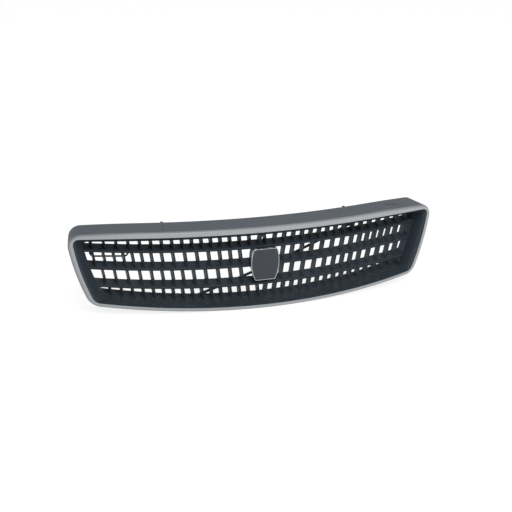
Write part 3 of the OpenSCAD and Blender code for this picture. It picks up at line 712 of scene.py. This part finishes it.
def make_lip(material):
    """Thin open section: outer skin rolled over a quarter ellipse, flat face, turned-in edge, inner skin.
    A snap tongue and its root lie inside the top and the bottom wall at every one of six places."""
    t = np.linspace(0, np.pi / 2, 13)
    rolled = [lip_row(ROLL_W * (1 - math.cos(a))) + [LIP_ROLL * (1 - math.sin(a))] for a in t]
    rear = LIP_SEAT - 0.1
    foot = LIP_W - 2.5
    edge = [(LIP_W - 1.3, 0.1), (LIP_W - 0.3, 0.7), (LIP_W, 2), (foot, rear), (foot - SKIN, rear)]
    turned_in = soften([lip_row(i) + [d] for i, d in edge], [0, 0.6, 0.9, 0.5, 0.5], closed=False)
    inner = [lip_row(SKIN + (ROLL_W - SKIN + 0.6) * (1 - math.cos(a)))
             + [LIP_ROLL - (LIP_ROLL - SKIN) * math.sin(a)] for a in t[::-3]]
    rows = np.concatenate([rolled, turned_in, inner, [lip_row(SKIN) + [rear], lip_row(0) + [rear]]])
    piece = Piece().grid(sweep(rows), ring=True)
    for x in TONGUE_X:
        start_y, root_y = y_at(x, 4.0), y_at(abs(x) - TONGUE_HALF_W, rear)
        end_y = start_y + TONGUE_L
        top = HEIGHT - top_drop(abs(x) + TONGUE_HALF_W) - WALL - 0.2
        low = base_z(abs(x) + TONGUE_HALF_W) + 0.2
        tongues = (
            (end_y, top - TONGUE_T, top),
            (root_y, top - TONGUE_T, top + WALL - 1.0),
            (end_y, low, low + TONGUE_T),
            (root_y, base_z(abs(x)) - WALL + 1.2, low + TONGUE_T),
        )
        for y, z0, z1 in tongues:
            piece.grid(block((x - TONGUE_HALF_W, start_y, z0), (x + TONGUE_HALF_W, y, z1)))
    piece.make("silver_lip", material, "silver_lip", "bezel_trim")


# ---- insert ---------------------------------------------------------------------------------------

PAD_R, PAD_HOLE_R = 4.6, 2.1
CHEEK_X = 360.0  # where a louvre's height at the cheeks is taken


def make_frame(material):
    """Funnel, ledge and flange as one swept section, with a raised pad round every screw."""
    knee = LEDGE_FRONT_INSET + LEDGE_SLOPE * (KNEE_DEPTH - FUNNEL_FRONT)
    top_in, cheek_in, ledge_in = ROW_TOP_INSET - 2.3, CHEEK_REAR_INSET - 2.8, LEDGE_REAR_INSET - 2.4
    flange = even(3.4, FLANGE_DRAW)
    rows = [
        lip_row(FUNNEL_INSET) + [FUNNEL_FRONT],
        [ROW_TOP_INSET, CHEEK_INSET, knee, 8, 14, LEDGE_KNEE_R, 0, KNEE_DEPTH],
        [ROW_TOP_INSET, CHEEK_REAR_INSET, LEDGE_REAR_INSET, 8, 12, LEDGE_REAR_R, 0, INSERT_DEPTH],
        flange + [INSERT_DEPTH],
        flange + [FLANGE_FRONT],
        [top_in, cheek_in, ledge_in, 9, 14, LEDGE_REAR_R, 0, FLANGE_FRONT],
        [top_in, CHEEK_INSET - 2.5, knee - 2.4, 9, 16, LEDGE_KNEE_R, 0, KNEE_DEPTH + 1.5],
        lip_row(9.9) + [5.3],
    ]
    piece = Piece().grid(sweep(soften(rows, [0.6, 3.0, 0.8, 0.6, 0.6, 1.0, 2.0, 0.5])), ring=True)
    for x, z in screw_places():
        y0, y1 = y_at(abs(x) - PAD_R, FLANGE_FRONT + 1), y_at(abs(x) + PAD_R, INSERT_DEPTH)
        profile = [
            (PAD_HOLE_R, y0), (PAD_R, y0), (PAD_R, y1 - 0.4), (PAD_R - 0.4, y1), (PAD_HOLE_R + 0.3, y1),
            (PAD_HOLE_R, y1 - 0.3),
        ]
        piece.grid(turned((x, 0, z), profile, 32), ring=True)
    piece.make("insert_funnel", material, "dark_plastic", "insert_frame")


def tilt_gain(i, x):
    """Height that louvre i gains at x because its plane is tilted."""
    return np.tan(LOUVRE_TILT[i]) * plan_drop(x)


def blade_section():
    """Louvre section as (depth, height): a round nose, flat sides and a small round tail."""
    r, tail = NOSE_H / 2, LOUVRE_TAIL / 2
    run = INSERT_DEPTH - NOSE_DEPTH
    nose = arc((r, r), r, np.pi * 0.5, np.pi * 1.5, 15)
    end = arc((0, 0), 1.0, -np.pi / 2, np.pi / 2, 7) * [0.6, tail] + [run - 0.6, LOUVRE_RISE - tail]
    under = nose[-1] + np.linspace(0.02, 0.98, 7)[:, None] * (end[0] - nose[-1])
    over = end[-1] + np.linspace(0.02, 0.98, 7)[:, None] * (nose[0] - end[-1])
    return np.concatenate([nose, under, end, over])


def cheek_x(z, depth):
    """X of the cheek's face at a height and depth, just inside the moulding."""
    depths = [FUNNEL_FRONT, KNEE_DEPTH, INSERT_DEPTH]
    inset = np.interp(depth, depths, [FUNNEL_INSET, CHEEK_INSET, CHEEK_REAR_INSET])
    return side_x(z) - inset + 0.8


def louvre_grid(i, start, side, count):
    """Louvre i from x = start to the cheek: section points carried along the tilted plan arc."""
    depth, height = blade_section().T
    depth = depth + NOSE_DEPTH
    s = np.linspace(0, 1, count)[:, None]
    end = cheek_x(LOUVRE_Z[i] + height + tilt_gain(i, CHEEK_X), depth)
    x = start + s * (end - start)
    return np.stack([side * x, y_at(x, depth), LOUVRE_Z[i] + height + tilt_gain(i, x)], -1)


def make_louvre(i, name, material):
    """One blade from cheek to cheek, or two where the badge's boss cuts it."""
    piece = Piece()
    if i == 1:
        for side in (-1, 1):
            piece.grid(louvre_grid(i, MIDDLE_LOUVRE_START, side, 49))
    else:
        left, right = louvre_grid(i, 0.0, -1, 57), louvre_grid(i, 0.0, 1, 57)
        piece.grid(np.concatenate([left[:0:-1], right]))
    piece.make(name + "_blade", material, "dark_plastic", name)


# Ribs: x = first + pitch k + swing sin(phase + step k) + drift k^2, with k = 0, 1, 2... count - 1.
# A row is first, pitch, swing, phase, step, drift, count; phase and step are in degrees.
RIB_ROWS = (
    (16.3, 23.07, 13.5, 115.4, 13.52, 0, 16),
    (49.0, 23.6, -4.35, 18.5, 34.4, -0.138, 15),
    (47.8, 24.0, -3.17, 67.5, 46.9, -0.061, 13),
    (31.0, 18.6, 2.19, 331.3, 24.7, 0.145, 15),
)
# The two middle ribs of the first and last rows: distance from the middle and lean in degrees.
MIDDLE_PAIR = {0: (5.5, -10.0), 3: (9.0, 9.0)}


def louvre_height(i, x, depth, rear_h, front_h):
    """Height of a louvre's top or underside between its nose and its tail."""
    along = (depth - NOSE_DEPTH - NOSE_H / 2) / (INSERT_DEPTH - NOSE_DEPTH - NOSE_H / 2)
    return LOUVRE_Z[i] + tilt_gain(i, x) + front_h + (rear_h - front_h) * along


def rib_floor(row, x, depth):
    """Surface that a row of ribs stands on: a louvre, or the ledge for the last row."""
    if row < 3:
        return louvre_height(row, x, depth, LOUVRE_RISE, NOSE_H)
    along = (depth - FUNNEL_FRONT) / (INSERT_DEPTH - FUNNEL_FRONT)
    curve = 1 / BOTTOM_R + (1 / LEDGE_REAR_R - 1 / BOTTOM_R) * along
    return LEDGE_FRONT_INSET + LEDGE_SLOPE * (depth - FUNNEL_FRONT) + x * x / 2 * curve


def rib_ceiling(row, x, depth):
    """Surface over a row of ribs: the louvre above, or the frame's top for the first row."""
    if row == 0:
        return HEIGHT - ROW_TOP_INSET - top_drop(x, ROW_TOP_INSET) + 0 * depth
    return louvre_height(row - 1, x, depth, LOUVRE_RISE - LOUVRE_TAIL, 0.0)


def make_ribs(row, material):
    """One row of ribs. A rib has a round front edge, leans outwards by 0.14 of its height and by 0.1 more
    at the far ends, splays to the rear by up to 0.06 of its depth, and flares where it meets the louvres;
    the whole row is worked out as one (rib, level, point) array."""
    first, pitch, swing, phase, step, drift, count = RIB_ROWS[row]
    k = np.arange(count)
    x = first + pitch * k + swing * np.sin(np.radians(phase + step * k))
    x = x + drift * k**2
    lean = 0.14 + 0.1 * (x / RIB_FAR_X) ** 2
    if row in MIDDLE_PAIR:
        x = np.append(x, MIDDLE_PAIR[row][0])
        lean = np.append(lean, math.tan(math.radians(MIDDLE_PAIR[row][1])))
    x, lean = np.concatenate([x, -x]), np.concatenate([lean, -lean])
    half = RIB_T / 2
    nose = arc((0, 0), half, np.pi / 2, np.pi * 1.5, 9)
    nose = np.stack([RIB_FRONT + half + nose[:, 0], nose[:, 1]], -1)
    rear = INSERT_DEPTH - 0.3
    back = [[rear - 0.4, -half * 1.12], [rear, -half * 0.8], [rear, half * 0.8], [rear - 0.4, half * 1.12]]
    section = np.concatenate([nose, back])
    depth, offset = section[:, 0], section[:, 1]
    level = np.array([0, 0.02, 0.05, 0.35, 0.65, 0.95, 0.98, 1.0])
    flare = 1 + 0.55 * np.exp(-np.minimum(level, 1 - level) / 0.02)
    x3, lean3 = x[:, None, None], lean[:, None, None]
    middle = (rib_floor(row, x3, RIB_MID_DEPTH) + rib_ceiling(row, x3, RIB_MID_DEPTH)) / 2
    floor_x = x3 - lean3 * (middle - rib_floor(row, x3, depth))
    head_x = x3 + lean3 * (rib_ceiling(row, x3, depth) - middle)
    floor_z = rib_floor(row, floor_x, depth) - 0.7
    head_z = rib_ceiling(row, head_x, depth) + 0.7
    z = floor_z + (head_z - floor_z) * level[:, None]
    splay = 0.06 * x3 / np.hypot(x3, 80) * (depth - RIB_MID_DEPTH)
    px = x3 + lean3 * (z - middle) + offset * flare[:, None] + splay
    py = y_at(x3, depth) + 0 * z
    points = np.stack([px + 0 * z, py, z], -1)
    piece = Piece()
    for rib in points:
        piece.grid(rib)
    piece.make(f"ribs_{row + 1}", material, "dark_plastic", f"rib_row_{row + 1}")


# ---- badge ----------------------------------------------------------------------------------------


def badge_loop(inset, tall=0.0):
    """Barrel outline about the badge's middle: flat ends, sides that bulge most above the middle, and
    corners that are rounder at the top. The ends are moved out by tall."""
    centre = (BADGE_HALF_W - BADGE_SIDE_R, BADGE_WAIST)

    def corner(end, radius):
        """Angle at which the side meets the corner, and the corner's arc with half of the flat end."""
        r = max(radius - inset, 0.8)
        z = end * (BADGE_H / 2 - inset + tall - r)
        x = centre[0] + math.sqrt((BADGE_SIDE_R - inset - r) ** 2 - (z - BADGE_WAIST) ** 2)
        turn = math.atan2(z - BADGE_WAIST, x - centre[0])
        curve = arc((x, z), r, turn, end * np.pi / 2, 9)
        flat = np.stack([np.linspace(x, 0, 9)[1:], np.full(8, z + end * r)], -1)
        return turn, np.concatenate([curve[1:], flat])

    high_turn, high = corner(1, BADGE_CORNERS[0])
    low_turn, low = corner(-1, BADGE_CORNERS[1])
    side = arc(centre, BADGE_SIDE_R - inset, low_turn, high_turn, 33)
    right = np.concatenate([low[::-1], side, high])
    return np.concatenate([right, right[-2:0:-1] * [-1, 1]])


def badge_rows(rows):
    """Grid over badge outlines; a row is (tall, inset, y), in the order that soften takes."""
    grid = []
    for tall, inset, y in rows:
        loop = badge_loop(inset, tall)
        grid.append(np.column_stack([loop[:, 0], np.full(len(loop), y), loop[:, 1] + BADGE_Z]))
    return np.array(grid)


def make_badge(chrome, field, plastic):
    """Carrier with its hollow neck, rim, and a plate whose dome falls back by x^2 / 560 + z^2 / 1900."""
    face = FRONT_Y + BADGE_DEPTH
    seat = face + BADGE_T
    rear = FRONT_Y + CARRIER_REAR
    tall, neck, bore = NECK_TALL, NECK_INSET, NECK_INSET + 2.5
    rows = [
        (0, 10, seat), (0, 1.2, seat), (0, 0.6, seat + 0.6), (0, 0.6, seat + 3.5), (0, 1.2, seat + 4.1),
        (0, neck, seat + 4.1), (0, neck, seat + 9), (tall, neck, seat + 9), (tall, neck, rear - 0.4),
        (tall, neck + 0.4, rear), (tall, bore - 0.4, rear), (tall, bore, rear - 0.4),
        (tall, bore, seat + 10), (0, bore, seat + 10), (0, bore, seat + 3), (0, 14, seat + 2.5),
    ]
    piece = Piece().grid(badge_rows(rows))
    piece.make("badge_boss", plastic, "dark_plastic", "badge_carrier")
    rim = [
        (0, 0, seat), (0, 0, face + 1.5), (0, 0.9, face + 0.1), (0, 1.5, face),
        (0, RIM_W - 0.5, face + 0.35), (0, RIM_W, face + 1.3), (0, RIM_W, seat),
    ]
    piece = Piece().grid(badge_rows(soften(rim, [0, 0.8, 0.5, 0.4, 0.5, 0.4, 0])), ring=True)
    piece.make("badge_rim", chrome, "badge_chrome", "badge_bezel")
    loop = badge_loop(RIM_W + 0.05)
    shrink = np.concatenate([[1.0, 1.0, 0.995], np.linspace(0.96, 0.04, 13)])[:, None]
    x, z = loop[:, 0] * shrink, loop[:, 1] * shrink
    dome = face + 0.3 + x**2 / 560 + z**2 / 1900
    dome[0] = seat
    dome[1] += 0.4
    plate = np.stack([x, dome, z + BADGE_Z], -1)
    piece = Piece().grid(plate)
    for side in (-1, 1):
        stud = [(0.01, seat - 2), (2, seat - 2), (2, seat + 8.6), (1.6, seat + 9), (0.01, seat + 9)]
        piece.grid(turned((0, 0, BADGE_Z + side * 20), stud, 24))
    piece.make("badge_field", field, "badge_field", "badge_plate")


# ---- behind the insert ----------------------------------------------------------------------------

BRACE_ENDS = np.array([[-149.0, 15.5], [267.6, 163.5]])
BRACE_NEAR, BRACE_FAR = INSERT_DEPTH + 0.1, INSERT_DEPTH + 4.5
EYE_R, EYE_HOLE_R, EYE_REACH = 5.0, 2.1, 4.0
LOOP_X, LOOP_HALF_W, LOOP_LOW, LOOP_TOP = -315.0, 39.5, 112.4, 165.0
LOOP_BEND, LOOP_HOOK, HOOK_L, WIRE_R = 9.0, 3.0, 6.0, 1.9


def make_brace(material):
    """Slanting bar: a flat bar with rounded edges that follows the plan curve, and an eye at each end."""
    run = BRACE_ENDS[1] - BRACE_ENDS[0]
    unit = run / np.hypot(*run)
    s = np.linspace(4.0, np.hypot(*run) - 4.0, 60)[:, None]
    t = np.linspace(0, 2 * np.pi, 20, endpoint=False) + np.pi / 20
    across = np.sign(np.cos(t)) * 1.8 + 0.7 * np.cos(t)
    deep = (BRACE_NEAR + BRACE_FAR) / 2 + np.sign(np.sin(t)) * 1.5 + 0.7 * np.sin(t)
    x = BRACE_ENDS[0, 0] + unit[0] * s - unit[1] * across
    z = BRACE_ENDS[0, 1] + unit[1] * s + unit[0] * across
    piece = Piece().grid(np.stack([x, y_at(x, deep), z], -1))
    for x, z in BRACE_ENDS:
        y0, y1 = y_at(x, BRACE_NEAR), y_at(abs(x) + EYE_REACH, BRACE_FAR)
        r, h, e = EYE_R, EYE_HOLE_R, 0.4
        eye = [(h, y0), (r - e, y0), (r, y0 + e), (r, y1 - e), (r - e, y1), (h + e, y1), (h, y1 - e)]
        piece.grid(turned((x, 0, z), eye, 32), ring=True)
    piece.make("slanting_brace", material, "black_plastic", "diagonal_brace")


def tube(path, radius, count):
    """Round tube along a path of points; its section turns with the path's tangent, and its start is set
    by a slanting line that no stretch of the path follows."""
    tangent = np.gradient(path, axis=0)
    tangent /= np.linalg.norm(tangent, axis=1)[:, None]
    side = np.cross(tangent, [0.31, 0.62, 0.11])
    side /= np.linalg.norm(side, axis=1)[:, None]
    other = np.cross(tangent, side)
    t = np.linspace(0, 2 * np.pi, count, endpoint=False)
    ring = side[:, None] * np.cos(t)[:, None] + other[:, None] * np.sin(t)[:, None]
    return path[:, None] + radius * ring


def make_loop(material):
    """U-shaped wire: a bottom run, two round bends, two legs, and two hooks that turn into the flange."""
    half, bend, low, top, hook = LOOP_HALF_W, LOOP_BEND, LOOP_LOW, LOOP_TOP, LOOP_HOOK
    corner = arc((half - bend, low + bend), bend, -np.pi / 2, 0, 13)
    base = np.stack([np.linspace(0, half - bend, 12), np.full(12, low)], -1)[:-1]
    leg = np.stack([np.full(14, half), np.linspace(low + bend, top - hook, 14)], -1)[1:]
    flat = np.concatenate([base, corner, leg])
    right = np.column_stack([flat[:, 0], np.zeros(len(flat)), flat[:, 1]])
    a = np.linspace(0, np.pi / 2, 9)[1:]
    turn = np.stack([np.full(8, half), -hook + hook * np.cos(a), top - hook + hook * np.sin(a)], -1)
    end = np.stack([np.full(6, half), np.linspace(-hook, -hook - HOOK_L, 7)[1:], np.full(6, top)], -1)
    right = np.concatenate([right, turn, end])
    path = np.concatenate([(right * [-1, 1, 1])[:0:-1], right])
    yaw = math.asin(LOOP_X / PLAN_R)
    path = path @ np.array(Matrix.Rotation(-yaw, 3, "Z"))
    path += [LOOP_X, y_at(LOOP_X, INSERT_DEPTH + 4), 0]
    piece = Piece().grid(tube(path, WIRE_R, 14))
    piece.make("wire_loop", material, "black_wire", "rear_loop")


def screw_grids(length):
    """Head and threaded shank of one screw that points along -Y with its seat at the origin. The head is
    a dome of radius 3.8 with a cross-shaped recess, and the shank's radius follows a helix."""
    t = np.linspace(0, 2 * np.pi, 48, endpoint=False)
    r = np.array([3.8, 3.8, 3.6, 3.2, 2.7, 2.2, 1.8, 1.4, 1.0, 0.6, 0.25])[:, None]
    y = np.array([0, 1.2, 1.7, 2.1, 2.35, 2.5, 2.55, 2.6, 2.62, 2.63, 2.63])[:, None]
    u, v = r * np.cos(t), r * np.sin(t)
    arm = np.minimum(np.abs(u), np.abs(v))
    reach = np.maximum(np.abs(u), np.abs(v))
    cross = np.clip((0.62 - arm) / 0.25, 0, 1) * np.clip((2.3 - reach) / 0.5, 0, 1)
    head = np.stack([u, y - 1.3 * cross, v], -1)
    turns = length / 1.4
    s = np.linspace(0, 1, int(turns * 10))[:, None]
    phase = (s * turns - t / (2 * np.pi)) % 1.0
    ridge = np.clip(1 - np.abs(phase - 0.5) * 4, 0, 1)
    taper = np.clip((1 - s) * length / 2.5, 0.25, 1)
    radius = (1.1 + 0.34 * ridge) * taper
    shank = np.stack([radius * np.cos(t), -s * length + 0 * t, radius * np.sin(t)], -1)
    return head, shank


def make_screws(name, places, length, material, node):
    """One object of equal screws, each at (x, y, z)."""
    piece = Piece()
    for place in places:
        for grid in screw_grids(length):
            piece.grid(grid + np.array(place))
    piece.make(name, material, "plated_steel", node)


def soften_cad(node, material):
    """Gives a carried-over CAD node its finish, joined faces and softly broken edges."""
    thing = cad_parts[node]
    thing.data.materials.clear()
    thing.data.materials.append(material)
    weld = thing.modifiers.new("weld", "WELD")
    weld.merge_threshold = 0.01 * MM
    edge = thing.modifiers.new("edges", "BEVEL")
    edge.width, edge.segments, edge.limit_method = 0.25 * MM, 2, "ANGLE"
    edge.angle_limit = CAD_CREASE


# ---- the grille -----------------------------------------------------------------------------------

plastic = insert_plastic()
zinc = zinc_plate()
spring = spring_phosphate()
black = black_moulding()

make_surround(wall_paint())
make_lip(lip_silver())
make_frame(plastic)
for index, louvre_name in enumerate(("louvre_upper", "louvre_middle", "louvre_lower")):
    make_louvre(index, louvre_name, plastic)
for row_index in range(4):
    make_ribs(row_index, plastic)
make_badge(badge_chrome(), badge_field(), plastic)
make_brace(black)
make_loop(black_wire())

insert_seats = [(x, y_at(abs(x) + PAD_R, INSERT_DEPTH), z) for x, z in screw_places()]
brace_seats = [(x, y_at(abs(x) + EYE_REACH, BRACE_FAR), z) for x, z in BRACE_ENDS]
bracket_seats = [(s * BRACKET_X, BRACKET_Y + BRACKET_T, z) for s in (-1, 1) for z in BRACKET_Z]
make_screws("screws_insert", insert_seats, 14.0, zinc, "insert_screws")
make_screws("screws_brace", brace_seats, 9.0, zinc, "brace_screws")
make_screws("screws_bracket", bracket_seats, 12.0, zinc, "bracket_screws")
for node_name in ("side_brackets", "top_sleeves"):
    soften_cad(node_name, zinc)
for node_name in ("badge_push_nuts", "lower_clips"):
    soften_cad(node_name, spring)


# ---- floor, light and camera ----------------------------------------------------------------------

SKY, BACKDROP = 0.5, 1.0  # world strength on the object, and as the background
FLOOR_GLOW, FLOOR_SHADE = 0.84, 0.3
FLOOR_HALF = 6.0
AIM = (0, 0, 0.1)
YAW, PITCH, ROLL = (math.radians(v) for v in (18.63, 19.466, 0.84))
CAMERA_PLACE = (-0.807, FRONT_Y * MM - 2.3145, 0.9819)
LENS, SENSOR_W = 87.89, 36.0


def looked_at(nodes):
    """1 for the camera, for reflections and through glass; 0 for the light that falls on the object."""
    kinds = ("Camera", "Glossy", "Transmission")
    camera, glossy, through = (nodes.node("LightPath", output=f"Is {kind} Ray") for kind in kinds)
    highest = {"operation": "MAXIMUM"}
    return nodes.node("Math", highest, camera, nodes.node("Math", highest, glossy, through))


def white_floor():
    """White floor: it shines plain white to the camera and in reflections, and keeps a soft shadow."""
    s = Shader("white_floor", Roughness=0.9, Base_Color=(0.8, 0.8, 0.8, 1), Specular_IOR_Level=0.0)
    seen = looked_at(s)
    glow = s.node("Emission", None, Color=(1, 1, 1, 1), Strength=FLOOR_GLOW)
    dim = s.node("BsdfDiffuse", None, Color=(FLOOR_SHADE, FLOOR_SHADE, FLOOR_SHADE, 1))
    both = s.node("AddShader", None, glow, dim)
    plain = s.node("MixShader", None, seen, Value(s, s.bsdf.outputs[0]), both)
    output = s.tree.nodes["Material Output"]
    s.tree.links.new(plain.socket, output.inputs["Surface"])
    return s.material


def add_floor():
    """Plain floor under the bottom wall."""
    mesh = bpy.data.meshes.new("floor")
    corners = [(x * FLOOR_HALF, y * FLOOR_HALF, 0) for x, y in ((-1, -1), (1, -1), (1, 1), (-1, 1))]
    mesh.from_pydata(corners, [], [(0, 1, 2, 3)])
    floor = bpy.data.objects.new("floor", mesh)
    bpy.context.scene.collection.objects.link(floor)
    mesh.materials.append(white_floor())


def add_light(name, place, size, watts):
    """Large square soft light that faces the grille."""
    data = bpy.data.lights.new(name, "AREA")
    data.energy, data.size = watts, size
    lamp = bpy.data.objects.new(name, data)
    lamp.location = place
    lamp.rotation_mode = "QUATERNION"
    lamp.rotation_quaternion = (Vector(AIM) - Vector(place)).to_track_quat("-Z", "Y")
    bpy.context.scene.collection.objects.link(lamp)


def set_world():
    """White to the camera and in reflections, and an even soft sky for everything else."""
    world = bpy.data.worlds.new("studio")
    bpy.context.scene.world = world
    world.use_nodes = True
    nodes = Nodes(world.node_tree)
    back = nodes.tree.nodes["Background"]
    back.inputs["Color"].default_value = (1, 1, 1, 1)
    level = nodes.node("MapRange", None, Value=looked_at(nodes), To_Min=SKY, To_Max=BACKDROP)
    nodes.tree.links.new(level.socket, back.inputs["Strength"])


def add_camera():
    """Long lens from the front left and above, turned a little about its own axis."""
    ahead = Vector((math.sin(YAW) * math.cos(PITCH), math.cos(YAW) * math.cos(PITCH), -math.sin(PITCH)))
    across = Vector((math.cos(YAW), -math.sin(YAW), 0))
    upright = across.cross(ahead)
    right = across * math.cos(ROLL) + upright * math.sin(ROLL)
    up = upright * math.cos(ROLL) - across * math.sin(ROLL)
    data = bpy.data.cameras.new("camera")
    data.lens, data.sensor_width = LENS, SENSOR_W
    camera = bpy.data.objects.new("camera", data)
    turn = Matrix((right, up, -ahead)).transposed()
    camera.matrix_world = Matrix.Translation(CAMERA_PLACE) @ turn.to_4x4()
    bpy.context.scene.collection.objects.link(camera)
    bpy.context.scene.camera = camera


add_floor()
set_world()
add_light("key", (-0.25, -2.1, 2.1), size=1.6, watts=34)
add_light("fill", (1.6, -1.6, 1.2), size=1.8, watts=12)
add_camera()
bpy.context.scene.view_settings.view_transform = "Standard"
